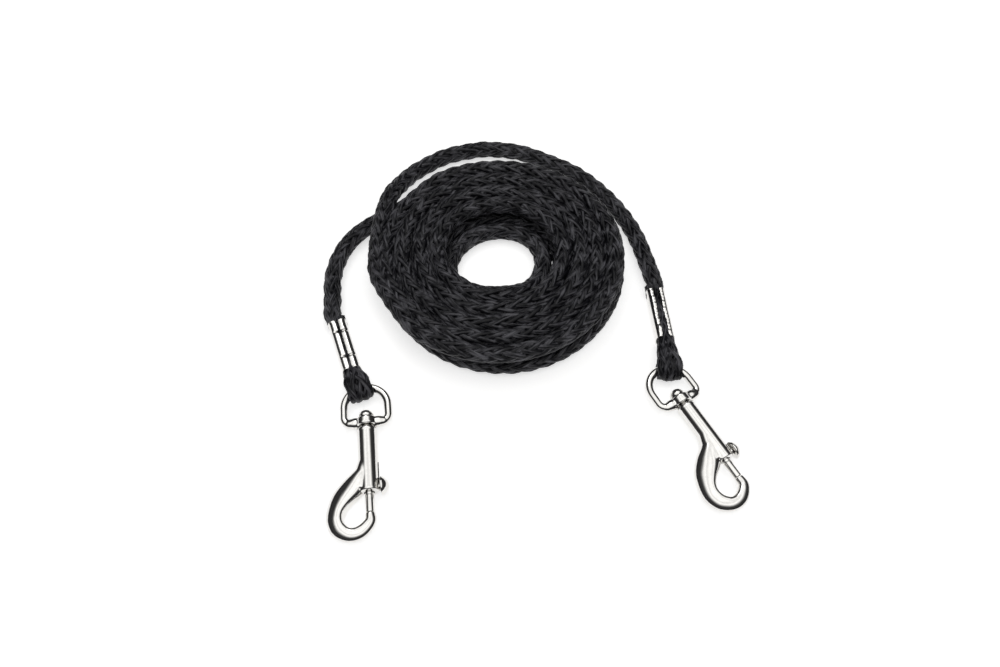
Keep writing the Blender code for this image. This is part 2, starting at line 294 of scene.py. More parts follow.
def makeSteelMaterial():
    look = steelLook
    material, graph, shader = newMaterial("drawn_steel")
    spot = graph.add("ShaderNodeTexCoord", out="Object")
    inputs = {"Vector": spot, "Scale": look["grainScale"], "Detail": 3.0}
    drawn = graph.add("ShaderNodeTexNoise", inputs=inputs)
    shade = graph.add("ShaderNodeValToRGB", {"stops": look["shades"]}, {"Fac": drawn})
    graph.fill(shader.inputs["Base Color"], shade)
    graph.fill(shader.inputs["Roughness"], look["roughness"] + drawn * look["roughnessChange"])
    shader.inputs["Metallic"].default_value = 1.0
    return material


blackBraid = makeCordMaterial()
castNickel = makeNickelMaterial("cast_nickel")
sheetNickel = makeNickelMaterial("sheet_nickel", extraRoughness=0.02, rippleScale=420.0)
drawnSteel = makeSteelMaterial()
print("materials made")


def link(obj):
    bpy.context.scene.collection.objects.link(obj)
    return obj


def squared(turn, power):  # a point of the unit circle moved towards a square
    x = math.copysign(abs(turn.x) ** power, turn.x)
    y = math.copysign(abs(turn.y) ** power, turn.y)
    return Vector((x, y, 0.0))


def skin(rings, closed=False):  # closed surface through rings of points; a ring may be one point
    bm = bmesh.new()
    made = [[bm.verts.new(point) for point in ring] for ring in rings]
    pairs = list(zip(made, made[1:]))
    if closed:
        pairs.append((made[-1], made[0]))
    for ring, following in pairs:
        for k in range(max(len(ring), len(following))):
            corners = [ring[k % len(ring)], ring[(k + 1) % len(ring)]]
            corners += [following[(k + 1) % len(following)], following[k % len(following)]]
            bm.faces.new(list(dict.fromkeys(corners)))
    for ring in () if closed else (made[0], made[-1]):
        if len(ring) > 2:
            bm.faces.new(ring)
    bmesh.ops.recalc_face_normals(bm, faces=bm.faces)
    return bm


def turned(profile, count):  # about U, from pairs of distance along U and radius
    rings = []
    for along, radius in profile:
        angles = [math.tau * k / count for k in range(count if radius else 1)]
        rings.append([(along, radius * math.cos(a), radius * math.sin(a)) for a in angles])
    return skin(rings)


def rod(span, radius):  # outline of a plain cylinder
    start, stop = span
    return (start, 0), (start, radius), (stop, radius), (stop, 0)


def rounded(profile, radius, steps=4):  # the same outline with its inner corners rounded
    out = [Vector(profile[0])]
    for before, here, after in zip(profile, profile[1:], profile[2:]):
        before, here, after = Vector(before), Vector(here), Vector(after)
        reach = min(radius, (before - here).length * 0.45, (after - here).length * 0.45)
        start = here + (before - here).normalized() * reach
        end = here + (after - here).normalized() * reach
        for k in range(steps + 1):
            t = k / steps
            out.append(start.lerp(here, t).lerp(here.lerp(end, t), t))
    out.append(Vector(profile[-1]))
    return out


def objectFrom(name, bm, scale=mm):
    mesh = bpy.data.meshes.new(name)
    bm.transform(Matrix.Scale(scale, 4))
    bm.to_mesh(mesh)
    bm.free()
    return link(bpy.data.objects.new(name, mesh))


def settle(obj, smoothAngle=None):  # turns its modifiers into plain mesh
    bpy.context.view_layer.update()
    shape = obj.evaluated_get(bpy.context.evaluated_depsgraph_get())
    mesh = bpy.data.meshes.new_from_object(shape)
    mesh.name = obj.name
    obj.modifiers.clear()
    obj.data = mesh
    mesh.shade_smooth()
    if smoothAngle:
        mesh.set_sharp_from_angle(angle=math.radians(smoothAngle))
    return obj


def faceOutwards(obj):
    bm = bmesh.new()
    bm.from_mesh(obj.data)
    bmesh.ops.recalc_face_normals(bm, faces=bm.faces)
    bm.to_mesh(obj.data)
    bm.free()


def combine(target, tool, operation):
    boolean = target.modifiers.new("combine", "BOOLEAN")
    boolean.operation = operation
    boolean.solver = "EXACT"
    boolean.object = tool


def drop(*objects):
    for obj in objects:
        bpy.data.objects.remove(obj, do_unlink=True)


def copyInto(obj, name, matrix, material):  # a finished copy with its place in its mesh
    mesh = obj.data.copy()
    mesh.transform(matrix)
    mesh.materials.clear()
    mesh.materials.append(material)
    mesh.name = name
    return link(bpy.data.objects.new(name, mesh))


ends = {
    "left": {
        "mouth": (-52.4, -49.0, 0),
        "ferruleHeading": -69.9,
        "collar": (-45.1, -71.5, 0),
        "snapHeading": -82.8,
        "tailSide": 1,
    },
    "right": {
        "mouth": (62.6, -35.3, 0),
        "ferruleHeading": -85.8,
        "collar": (66.3, -62.6, 0),
        "snapHeading": -61.6,
        "tailSide": -1,
    },
}
hardware = {  # U runs along a snap from its collar to its hook
    "ferruleLength": 22.0,
    "ferruleAxisZ": 3.55,
    "axisZ": 3.7,
    "eyeArcU": -8.25,
    "eyeHalfWidth": 7.75,
    "roll": 3.5,  # degrees that a snap lies turned about U
    "cordBeside": 1.3,  # the cord goes in beside its own tail
}

for end in ends.values():
    end["along"] = heading(end["ferruleHeading"])
    end["mouth"] = coilCentre + Vector(end["mouth"])
    end["top"] = end["mouth"] - end["along"] * hardware["ferruleLength"]
    end["collar"] = coilCentre + Vector(end["collar"])
    arcCentre = end["collar"] + heading(end["snapHeading"]) * hardware["eyeArcU"]
    end["pull"] = (arcCentre - end["mouth"]).normalized()
    end["wire"] = arcCentre - end["pull"] * hardware["eyeHalfWidth"]
    turn = Matrix.Rotation(math.radians(end["snapHeading"]), 4, "Z")
    lifted = end["collar"] + Vector((0, 0, hardware["axisZ"]))
    end["eyeFrame"] = Matrix.Translation(lifted * mm) @ turn
    end["snapFrame"] = end["eyeFrame"] @ Matrix.Rotation(math.radians(hardware["roll"]), 4, "X")


studio = {
    "cameraPlace": (1.2, -199.3, 260.6),  # millimetres from the coil's centre
    "cameraTilt": 33.0,
    "lens": 29.52,
    "sensor": 36.0,
    "floor": (0.75, 0.75, 0.75, 1),
    "floorGlow": 0.62,
    "floorSize": 3.0,  # metres from its middle to its edge
    "floorDrop": 0.2,
    "lampPlace": (-0.12, 0.62, 0.85),  # metres
    "lampAim": (0, 0.03, 0),
    "lampSize": (0.34, 0.22),
    "lampWatts": 0.55,
    "backdrop": (0.72, 0.72, 0.72, 1),
    "horizon": (0.02, 0.019, 0.021, 1),
    "sky": (1.0, 0.995, 0.985, 1),
    "skyBands": (  # height in the sky, then share of its brightness
        (0.60, 0.03),
        (0.71, 0.22),
        (0.79, 0.80),
        (0.86, 1.0),
        (0.91, 0.74),
        (0.96, 1.0),
        (1.0, 1.0),
    ),
    "skyStrength": 1.35,
}


def makeStudio():
    camera = link(bpy.data.objects.new("camera", bpy.data.cameras.new("camera")))
    camera.location = (coilCentre + Vector(studio["cameraPlace"])) * mm
    camera.rotation_euler = (math.radians(studio["cameraTilt"]), 0, 0)
    camera.data.lens = studio["lens"]
    camera.data.sensor_width = studio["sensor"]
    camera.data.clip_start = 0.01
    bpy.context.scene.camera = camera

    bm = bmesh.new()
    bmesh.ops.create_grid(bm, x_segments=1, y_segments=1, size=studio["floorSize"])
    floor = objectFrom("floor", bm, 1.0)
    material, graph, shader = newMaterial("paper")
    shader.inputs["Base Color"].default_value = studio["floor"]
    shader.inputs["Roughness"].default_value = 0.9
    shader.inputs["Specular IOR Level"].default_value = 0.0
    shader.inputs["Emission Color"].default_value = (1, 1, 1, 1)
    shader.inputs["Emission Strength"].default_value = studio["floorGlow"]
    floor.data.materials.append(material)
    floor.location.z = -studio["floorDrop"] * mm

    lamp = bpy.data.lights.new("softbox", "AREA")
    lamp.shape = "RECTANGLE"
    lamp.size, lamp.size_y = studio["lampSize"]
    lamp.energy = studio["lampWatts"]
    light = link(bpy.data.objects.new("softbox", lamp))
    light.location = studio["lampPlace"]
    aim = Vector(studio["lampAim"]) - Vector(studio["lampPlace"])
    light.rotation_euler = aim.to_track_quat("-Z", "Y").to_euler()

    world = bpy.data.worlds.new("studio")
    bpy.context.scene.world = world
    world.use_nodes = True
    graph = Graph(world.node_tree)
    direction = graph.add("ShaderNodeTexCoord", out="Generated")
    parts = graph.tree.nodes.new("ShaderNodeSeparateXYZ")
    graph.fill(parts.inputs[0], direction)
    height = Wire(graph, parts.outputs["Z"])
    dark, bright = studio["horizon"], studio["sky"]
    stops = [(0.0, dark)]
    for place, share in studio["skyBands"]:
        stops.append((place, (*(share * value for value in bright[:3]), 1)))
    shade = graph.add("ShaderNodeValToRGB", {"stops": stops}, {"Fac": height})
    seen = graph.add("ShaderNodeLightPath", out="Is Camera Ray")  # the sky itself looks pale
    shade = graph.add(
        "ShaderNodeMix",
        {"data_type": "RGBA"},
        {"Factor": seen, 6: shade, 7: studio["backdrop"]},
        out=2,
    )
    background = world.node_tree.nodes["Background"]
    graph.fill(background.inputs["Color"], shade)
    background.inputs["Strength"].default_value = studio["skyStrength"]
    bpy.context.scene.view_settings.view_transform = "Standard"


makeStudio()
print("camera and floor made")


coil = {  # millimetres and degrees
    "pitch": 7.1,
    "outerR": 45.2,
    "startAngle": 125.0,  # where the left lead joins the lower layer
    "lowerTurns": 4.4,
    "upperTurns": 4.32,
    "upperPitch": 6.65,
    "upperShift": 0.9,  # so that the upper turns cover the joints between the lower ones
    "hold": 0.5,  # part of a turn that stays round before it steps across
    "climb": 0.22,  # turns taken to climb from the lower layer to the upper one
    "pointsPerTurn": 28,
    "cordR": 3.5,
    "leadLength": 100.0,
    "spread": 0.08,  # the wound turns are pressed a little flat
    "widestGap": 4.6,  # from the nearest lower turn: past it the cord sinks no further
    "drift": 0.22,  # how far an upper turn strays sideways
    "driftsPerTurn": 5,
    "drifts": 80,
    "ripple": 0.3,  # and how far it rises
    "ripplesPerTurn": 2.3,
    "rippleShift": 1.7,
}

leftRoute = (  # from the coil out to the ferrule: x, y, height
    (-25.8, 36.9, 3.5),
    (-32.2, 33.8, 3.5),
    (-38.6, 30.0, 3.5),
    (-45.0, 25.4, 3.5),
    (-51.9, 20.1, 3.5),
    (-57.0, 15.0, 3.5),
    (-60.9, 8.5, 3.5),
    (-63.2, 0.8, 3.5),
    (-64.0, -7.5, 3.5),
    (-63.1, -16.1, 3.5),
)
rightRoute = (
    (-44.6, -11.9, 9.9),
    (-46.6, 0.0, 9.4),
    (-46.6, 9.9, 9.6),
    (-45.6, 20.3, 10.4),
    (-43.7, 30.3, 9.9),
    (-41.4, 37.5, 7.4),
    (-37.8, 45.3, 5.0),
    (-33.1, 51.4, 3.8),
    (-22.7, 59.1, 3.5),
    (-11.0, 62.8, 3.5),
    (-3.2, 63.7, 3.5),
    (9.5, 61.8, 3.5),
    (20.7, 56.7, 3.5),
    (33.3, 49.1, 3.5),
    (43.3, 38.7, 3.5),
    (50.8, 27.1, 3.5),
    (55.9, 15.3, 3.5),
    (58.8, 3.4, 3.5),
)


def stepped(turns):  # whole steps with a smooth change at the end of each turn
    whole = math.floor(turns)
    return whole + eased(min(1.0, max(0.0, (turns - whole - coil["hold"]) / (1 - coil["hold"]))))


def lowerRadius(turns):
    return coil["outerR"] - coil["pitch"] * min(stepped(turns), 4.0)


bulges = (  # direction in degrees, spread in degrees, how far out
    (30, 55, 1.9),
    (-85, 50, 1.2),
    (160, 40, 0.4),
)


def unevenness(degrees):  # a hand-wound coil is not quite round
    total = 0.0
    for centre, spread, height in bulges:
        away = (degrees - centre + 180) % 360 - 180
        total += height * hump(away, 0, spread)
    return total


def restHeight(radius, degrees):  # of a turn laid on the lower layer
    firstTurn = ((coil["startAngle"] - degrees) % 360) / 360
    tracks = [lowerRadius(firstTurn + k) for k in range(5)]
    nearest = min(abs(radius - track) for track in tracks)
    thick = 2 * coil["cordR"]
    return coil["cordR"] + math.sqrt(thick**2 - min(nearest, coil["widestGap"]) ** 2)


def ringPoint(degrees, radius, height):
    return heading(degrees) * (radius + unevenness(degrees)) + Vector((0, 0, height))


def coilPoints():
    cordR, count = coil["cordR"], coil["pointsPerTurn"]
    lower, upper, climb = coil["lowerTurns"], coil["upperTurns"], coil["climb"]
    points = []
    for k in range(1, round(lower * count) + 1):
        turns = k / count
        points.append(ringPoint(coil["startAngle"] - 360 * turns, lowerRadius(turns), cordR))
    wander = random.Random(11)
    drift = [wander.uniform(-coil["drift"], coil["drift"]) for _ in range(coil["drifts"])]
    turn = coil["startAngle"] - 360 * lower
    begin = lowerRadius(lower)
    for k in range(1, round(upper * count) + 1):
        turns = k / count
        degrees = turn - 360 * turns
        place = turns * coil["driftsPerTurn"]
        low = math.floor(place)
        shift = drift[low] + (drift[low + 1] - drift[low]) * (place - low)
        radius = begin + coil["upperShift"] * min(1, turns / climb) - shift * min(1, turns)
        radius += coil["upperPitch"] * stepped(turns + lower % 1)
        radius = min(radius, coil["outerR"] - 0.5)
        phase = math.radians(degrees) * coil["ripplesPerTurn"] + math.floor(turns) * coil["rippleShift"]
        ripple = coil["ripple"] * (1 + math.sin(phase))
        height = restHeight(radius, degrees) + ripple * min(1, turns)
        if turns < climb:
            height = cordR + (height - cordR) * eased(turns / climb)
        points.append(ringPoint(degrees, radius, height))
    return points


endSteps = (  # along the ferrule from its top, then share of the way beside its axis
    (-6.5, 0.3),
    (-1.0, 1.0),
    (2.5, 0.8),
)


def endPoints(end):
    beside = -across(end["along"]) * end["tailSide"] * hardware["cordBeside"]
    top = end["top"] - coilCentre + Vector((0, 0, hardware["ferruleAxisZ"]))
    return [top + end["along"] * along + beside * share for along, share in endSteps]


def cordRoute():
    left = [*map(Vector, leftRoute), *endPoints(ends["left"])]
    right = [*map(Vector, rightRoute), *endPoints(ends["right"])]
    route = smoothLine([*reversed(left), *coilPoints(), *right], 8)
    return [(point + coilCentre) * mm for point in evenly(route, 1.5)]


braid = {
    "strands": 16,  # half of them run each way
    "pitch": 50.0,  # length in which a strand goes once round
    "middleR": 2.74,
    "weave": 0.34,  # how far a strand rises and dives
    "coreR": 2.45,
    "stray": 0.34,  # radians
    "strayAlong": 110.0,  # per metre
    "strayShift": 5.3,
    "step": 2.05,
    "squeezeStart": 2.0,  # the cord narrows towards the ferrule
    "squeezeLength": 6.0,
    "squeezed": 0.66,
    "squeezedStrand": 0.75,
}
strandProfile = (  # height above the strand's middle, then place across it
    (-0.45, -1.10),
    (0.24, -0.70),
    (0.46, 0.0),
    (0.24, 0.70),
    (-0.45, 1.10),
)


def makeProfile():
    bm = bmesh.new()
    verts = [bm.verts.new((x * mm, y * mm, 0)) for x, y in strandProfile]
    for a, b in zip(verts, [*verts[1:], verts[0]]):
        bm.edges.new((a, b))
    return objectFrom("strandProfile", bm, 1.0)


def newTree(name, sockets):  # a geometry tree and what it is given
    tree = bpy.data.node_groups.new(name, "GeometryNodeTree")
    face = tree.interface
    for label, kind in (("Geometry", "Geometry"), *sockets):
        face.new_socket(label, in_out="INPUT", socket_type="NodeSocket" + kind)
    face.new_socket("Geometry", in_out="OUTPUT", socket_type="NodeSocketGeometry")
    graph = Graph(tree)
    inside = tree.nodes.new("NodeGroupInput")
    return graph, {socket.name: Wire(graph, socket) for socket in inside.outputs if socket.name}


def finishTree(graph, geometry, material):
    real = graph.add("GeometryNodeRealizeInstances", inputs={"Geometry": geometry})
    done = graph.add("GeometryNodeSetMaterial", inputs={"Geometry": real, "Material": material})
    last = graph.tree.nodes.new("NodeGroupOutput")
    graph.fill(last.inputs[0], done)
    return graph.tree


# Strands woven round a line, whose points carry the vectors side and size.
def braidTree():
    sockets = (
        ("Profile", "Object"),
        ("Strands", "Int"),
        ("Pitch", "Float"),
        ("Middle radius", "Float"),
        ("Weave", "Float"),
        ("Core radius", "Float"),
        ("Stray", "Float"),
        ("Step", "Float"),
        ("Material", "Material"),
    )
    graph, given = newTree("braid", sockets)
    tree = graph.tree

    route = graph.add("GeometryNodeMeshToCurve", inputs={"Mesh": given["Geometry"]})
    even = graph.add(
        "GeometryNodeResampleCurve", {"mode": "LENGTH"}, {"Curve": route, "Length": given["Step"]}
    )
    copies = tree.nodes.new("GeometryNodeDuplicateElements")
    copies.domain = "SPLINE"
    graph.fill(copies.inputs["Geometry"], even)
    graph.fill(copies.inputs["Amount"], given["Strands"])
    number = Wire(graph, copies.outputs["Duplicate Index"])

    length = graph.add("GeometryNodeSplineParameter", out="Length")
    tangent = graph.add("GeometryNodeInputTangent")
    side = graph.add(
        "GeometryNodeInputNamedAttribute", {"data_type": "FLOAT_VECTOR"}, {"Name": "side"}
    )
    size = graph.add(
        "GeometryNodeInputNamedAttribute", {"data_type": "FLOAT_VECTOR"}, {"Name": "size"}
    )
    split = tree.nodes.new("ShaderNodeSeparateXYZ")
    graph.fill(split.inputs[0], size)
    thick, wide, strand = (Wire(graph, socket) for socket in split.outputs)

    half = given["Strands"] / 2.0
    backwards = graph.add(
        "ShaderNodeMath", {"operation": "GREATER_THAN"}, {0: number + 0.5, 1: half}
    )
    hand = 1.0 - backwards * 2.0
    turn = number / half * math.tau + hand * length * math.tau / given["Pitch"]
    place = {"X": length * braid["strayAlong"], "Y": number * braid["strayShift"]}
    spot = graph.add("ShaderNodeCombineXYZ", inputs=place)
    wander = graph.add("ShaderNodeTexNoise", inputs={"Vector": spot, "Scale": 1.0, "Detail": 1.0})
    turn = turn + (wander - 0.5) * given["Stray"]
    crossings = length * given["Strands"] / given["Pitch"]
    over = (number * math.pi + hand * crossings * (math.pi / 2) - math.pi / 4).cos()  # two over, two under
    radius = given["Middle radius"] + hand * over * given["Weave"]

    normal = graph.joined(side, tangent, "CROSS_PRODUCT")
    out = graph.joined(
        graph.scaled(normal, turn.cos() * radius * thick), graph.scaled(side, turn.sin() * radius * wide)
    )
    facing = graph.joined(
        graph.scaled(normal, turn.cos() * wide), graph.scaled(side, turn.sin() * thick)
    )
    keep = tree.nodes.new("GeometryNodeCaptureAttribute")
    facing = graph.add("ShaderNodeVectorMath", {"operation": "NORMALIZE"}, {0: facing})
    carried = {"facing": facing, "strand": strand, "length": length, "number": number}
    for name in carried:
        keep.capture_items.new("VECTOR" if name == "facing" else "FLOAT", name)
    graph.fill(keep.inputs["Geometry"], Wire(graph, copies.outputs["Geometry"]))
    for name, value in carried.items():
        graph.fill(keep.inputs[name], value)
    kept = {socket.name: Wire(graph, socket) for socket in keep.outputs}

    moved = graph.add("GeometryNodeSetPosition", inputs={"Geometry": kept["Geometry"], "Offset": out})
    aimed = graph.add(
        "GeometryNodeSetCurveNormal", {"mode": "FREE"}, {"Curve": moved, "Normal": kept["facing"]}
    )
    named = aimed
    for name, value in (("alongStrand", kept["length"]), ("strandNumber", kept["number"])):
        named = graph.add(
            "GeometryNodeStoreNamedAttribute",
            {"data_type": "FLOAT", "domain": "POINT"},
            {"Geometry": named, "Name": name, "Value": value},
        )
    sized = graph.add("GeometryNodeSetCurveRadius", inputs={"Curve": named, "Radius": kept["strand"]})

    shape = graph.add("GeometryNodeObjectInfo", inputs={"Object": given["Profile"]}, out="Geometry")
    outline = graph.add("GeometryNodeMeshToCurve", inputs={"Mesh": shape})
    spot = tree.nodes.new("ShaderNodeSeparateXYZ")
    graph.fill(spot.inputs[0], graph.add("GeometryNodeInputPosition"))
    marked = graph.add(
        "GeometryNodeStoreNamedAttribute",
        {"data_type": "FLOAT", "domain": "POINT"},
        {"Geometry": outline, "Name": "acrossStrand", "Value": Wire(graph, spot.outputs["Y"])},
    )
    inputs = {"Curve": sized, "Profile Curve": marked, "Fill Caps": True}
    strands = tree.nodes.new("GeometryNodeCurveToMesh")
    for name, value in inputs.items():
        graph.fill(strands.inputs[name], value)
    if "Scale" in strands.inputs:
        graph.fill(strands.inputs["Scale"], kept["strand"])

    coarse = graph.add(
        "GeometryNodeResampleCurve", {"mode": "LENGTH"}, {"Curve": route, "Length": given["Step"] * 2.0}
    )
    thin = graph.add("GeometryNodeSetCurveRadius", inputs={"Curve": coarse, "Radius": thick})
    circle = graph.add(
        "GeometryNodeCurvePrimitiveCircle", inputs={"Resolution": 8, "Radius": given["Core radius"]}
    )
    core = tree.nodes.new("GeometryNodeCurveToMesh")
    graph.fill(core.inputs["Curve"], thin)
    graph.fill(core.inputs["Profile Curve"], circle)
    graph.fill(core.inputs["Fill Caps"], True)
    if "Scale" in core.inputs:
        graph.fill(core.inputs["Scale"], thick)

    both = tree.nodes.new("GeometryNodeJoinGeometry")
    tree.links.new(core.outputs[0], both.inputs[0])
    tree.links.new(strands.outputs[0], both.inputs[0])
    return finishTree(graph, Wire(graph, both.outputs[0]), given["Material"])


def addNodes(obj, tree, values):  # inputs are set before anything is evaluated
    modifier = obj.modifiers.new(tree.name, "NODES")
    modifier.node_group = tree
    for item in tree.interface.items_tree:
        if item.item_type == "SOCKET" and item.in_out == "INPUT" and item.name in values:
            modifier[item.identifier] = values[item.name]


def sideVectors(line):  # carried along the line without twisting
    side = Vector((0, 0, 1)).cross(line[1] - line[0]).normalized()
    vectors = []
    for k in range(len(line)):
        along = (line[min(k + 1, len(line) - 1)] - line[max(k - 1, 0)]).normalized()
        side = (side - along * side.dot(along)).normalized()
        vectors.append(side.copy())
    return vectors


def routeObject(name, line, vectors, sizes):
    mesh = bpy.data.meshes.new(name)
    mesh.from_pydata(line, [(k, k + 1) for k in range(len(line) - 1)], [])
    for label, values in (("side", vectors), ("size", sizes)):
        attribute = mesh.attributes.new(label, "FLOAT_VECTOR", "POINT")
        for item, value in zip(attribute.data, values):
            item.vector = value
    return link(bpy.data.objects.new(name, mesh))


def braided(name, line, vectors, sizes, step=braid["step"]):
    obj = routeObject(name, line, vectors, sizes)
    values = {
        "Profile": profileObject,
        "Strands": braid["strands"],
        "Pitch": braid["pitch"] * mm,
        "Middle radius": braid["middleR"] * mm,
        "Weave": braid["weave"] * mm,
        "Core radius": braid["coreR"] * mm,
        "Stray": braid["stray"],
        "Step": step * mm,
        "Material": blackBraid,
    }
    addNodes(obj, braidNodes, values)
    settle(obj)
    faceOutwards(obj)
    return obj


profileObject = makeProfile()
braidNodes = braidTree()


def makeCord():
    line = cordRoute()
    total = lineLength(line)
    sizes, run = [], 0.0
    for k, point in enumerate(line):
        if k:
            run += (point - line[k - 1]).length
        away = min(run, total - run) / mm
        full = eased(min(1.0, max(0.0, away - braid["squeezeStart"]) / braid["squeezeLength"]))
        spread = coil["spread"] * min(1.0, max(0.0, away / coil["leadLength"] - 1.0))
        thick = braid["squeezed"] + (1 - braid["squeezed"]) * full
        strand = braid["squeezedStrand"] + (1 - braid["squeezedStrand"]) * full
        sizes.append((thick, thick + spread, strand))
    cord = braided("braided_cord", line, sideVectors(line), sizes)
    print("cord of", round(total, 3), "m,", len(cord.data.polygons), "faces")
    return cord, line, total


cord, cordLine, cordLength = makeCord()


fold = (  # frame, along, across on the tail's side, height, thickness, width, strand size
    ("top", 1.5, -1.2, 3.6, 0.50, 0.62, 0.70),
    ("top", 5.0, -0.5, 4.4, 0.42, 0.80, 0.70),
    ("top", 11.0, 0.0, 4.85, 0.40, 0.84, 0.70),
    ("top", 18.0, 0.0, 4.85, 0.40, 0.84, 0.72),
    ("top", 21.5, 0.0, 4.90, 0.42, 0.90, 0.80),
    ("wire", -5.2, 0.0, 5.70, 0.46, 1.15, 0.95),
    ("wire", -2.4, 0.0, 6.55, 0.46, 1.34, 1.00),
    ("wire", 0.4, 0.0, 6.75, 0.46, 1.42, 1.00),
    ("wire", 2.7, 0.0, 5.90, 0.44, 1.40, 1.00),
    ("wire", 3.7, 0.0, 4.10, 0.42, 1.34, 0.95),
    ("wire", 3.1, 0.0, 2.20, 0.30, 1.30, 0.75),
    ("wire", 1.0, 0.0, 1.20, 0.22, 1.30, 0.60),
    ("wire", -1.8, 0.0, 1.15, 0.22, 1.25, 0.60),
    ("wire", -5.0, 0.0, 1.70, 0.34, 1.05, 0.70),
    ("top", 20.5, 0.0, 2.30, 0.40, 0.84, 0.70),
    ("top", 14.0, 0.0, 2.25, 0.40, 0.84, 0.70),
    ("top", 7.0, 0.3, 2.35, 0.42, 0.80, 0.70),
    ("top", 2.0, 1.5, 3.10, 0.48, 0.62, 0.68),
    ("top", -0.8, 1.8, 3.60, 0.48, 0.50, 0.60),
    ("top", -2.6, 2.0, 3.70, 0.46, 0.46, 0.54),
)


def makeFold(side):
    end = ends[side]
    frames = {
        "top": (end["top"], end["along"], across(end["along"]) * end["tailSide"]),
        "wire": (end["wire"], end["pull"], across(end["pull"]) * end["tailSide"]),
    }
    points = []
    for name, along, over, height, thick, wide, strand in fold:
        origin, forward, sideways = frames[name]
        place = origin + forward * along + sideways * over + Vector((0, 0, height))
        points.append((*place, thick, wide, strand))
    line = evenly(smoothLine(points, 8), 0.8)
    path = [Vector(p[:3]) * mm for p in line]
    sizes = [Vector(p[3:]) for p in line]
    sideways = across(end["pull"])
    return braided(f"folded_cord_{side}", path, [sideways] * len(path), sizes, 1.0)


folds = {side: makeFold(side) for side in sides}
drop(profileObject)
print("folded ends made")


crimps = {
    "left": {"seam": 3.2, "ragged": 0.5, "notches": (5.2, 16.4), "flap": None},
    "right": {"seam": 15.5, "ragged": 4.5, "notches": (), "flap": 18.4},
}
ferrule = {
    "outerR": 3.5,
    "wall": 0.5,
    "squareness": 0.72,
    "stationsAlong": 88,
    "stationsRound": 64,
    "edgeRoll": (0.35, 0.035),  # how far in, then share of the way round
    "notch": (0.5, 0.42),  # depth and width
    "notchReach": (0.04, 0.19),  # share of the way round, on each side of the seam
    "lip": (0.10, 0.5),  # height and width
    "flap": (0.25, 1.3, 0.06),  # height, width, share of the way round
    "edge": 0.1,
}
raggedWaves = (  # height, radians a millimetre, phase
    (0.55, 0.55, 1.0),
    (0.3, 1.9, 2.3),
    (0.22, 4.3, -1.0),
)


def seamEdge(crimp, u, hand):  # half angle of the open seam, in degrees
    length = hardware["ferruleLength"]
    waves = sum(height * math.sin(u * rate + phase * hand) for height, rate, phase in raggedWaves)
    edge = crimp["seam"] + crimp["ragged"] * waves
    for notch in crimp["notches"]:
        edge += 9 * hump(u, notch, 0.32)
    edge += 4 * (hump(u, 0, 0.7) + hump(u, length, 0.7))
    return max(edge, 1.2)


def makeFerrule(side):
    end, crimp = ends[side], crimps[side]
    length = hardware["ferruleLength"]
    rows, columns = ferrule["stationsAlong"], ferrule["stationsRound"]
    rollDepth, rollReach = ferrule["edgeRoll"]
    notchDepth, notchWidth = ferrule["notch"]
    notchReach = ferrule["notchReach"]
    lip, lipWidth = ferrule["lip"]
    flap, flapWidth, flapReach = ferrule["flap"]
    bm = bmesh.new()
    grid = []
    for i in range(rows + 1):
        u = length * i / rows
        start = 90 + seamEdge(crimp, u, 1)
        stop = 450 - seamEdge(crimp, u, -1)
        row = []
        for j in range(columns + 1):
            angle = start + (stop - start) * j / columns
            near = min(j, columns - j) / columns
            radius = ferrule["outerR"]
            radius -= rollDepth * hump(near, 0, rollReach)
            reach = notchReach[j > columns / 2]
            for notch in crimp["notches"]:
                radius -= notchDepth * hump(u, notch, notchWidth) * hump(near, 0, reach)
            radius += lip * (hump(u, 0, lipWidth) + hump(u, length, lipWidth))
            if crimp["flap"] and j < columns / 2:
                radius += flap * hump(u, crimp["flap"], flapWidth) * hump(near, 0, flapReach)
            turn = squared(heading(angle), ferrule["squareness"]) * radius
            row.append(bm.verts.new((u, turn.x, turn.y)))
        grid.append(row)
    for low, high in zip(grid, grid[1:]):
        for a, b, c, d in zip(low, low[1:], high[1:], high):
            bm.faces.new((a, b, c, d))
    obj = objectFrom(f"crimp_{side}", bm)
    solid = obj.modifiers.new("wall", "SOLIDIFY")
    solid.thickness = ferrule["wall"] * mm
    solid.offset = -1.0
    edge = obj.modifiers.new("edge", "BEVEL")
    edge.width = ferrule["edge"] * mm
    edge.segments = 2
    edge.limit_method = "ANGLE"
    edge.angle_limit = math.radians(50)
    settle(obj, 60)
    faceOutwards(obj)
    turn = Matrix.Rotation(math.radians(end["ferruleHeading"]), 4, "Z")
    lifted = end["top"] + Vector((0, 0, hardware["ferruleAxisZ"]))
    obj.data.transform(Matrix.Translation(lifted * mm) @ turn)
    obj.data.materials.clear()
    obj.data.materials.append(sheetNickel)
    return obj


ferrules = {side: makeFerrule(side) for side in sides}
print("ferrules made")


eye = {
    "wireR": 1.46,
    "barU": -1.9,
    "barR": 2.1,
    "barEnd": ((0.05, 0), (0.05, 0.4), (0.5, 0.75), (1.5, 1.0)),  # back from the wire, radius, in barR
    "barRounding": 0.6,
    "cornerR": 2.5,
    "bossR": 3.6,
    "bossSpan": (-3.5, -0.3),
    "bossRounding": 0.7,
    "boreR": 1.75,
    "boreSpan": (-8, 4),
    "voxel": 0.17,
    "smoothing": 9,
}


def planeTube(line, radii, count, closed):
    rings = []
    for k, point in enumerate(line):
        ahead = line[(k + 1) % len(line)] if closed else line[min(k + 1, len(line) - 1)]
        behind = line[k - 1] if closed else line[max(k - 1, 0)]
        along = (ahead - behind).normalized()
        ring = []
        for j in range(count):
            turn = heading(360 * j / count) * radii[k]
            out = across(along) * turn.x
            ring.append((point.x + out.x, point.y + out.y, turn.y))
        rings.append(ring)
    return skin(rings, closed)


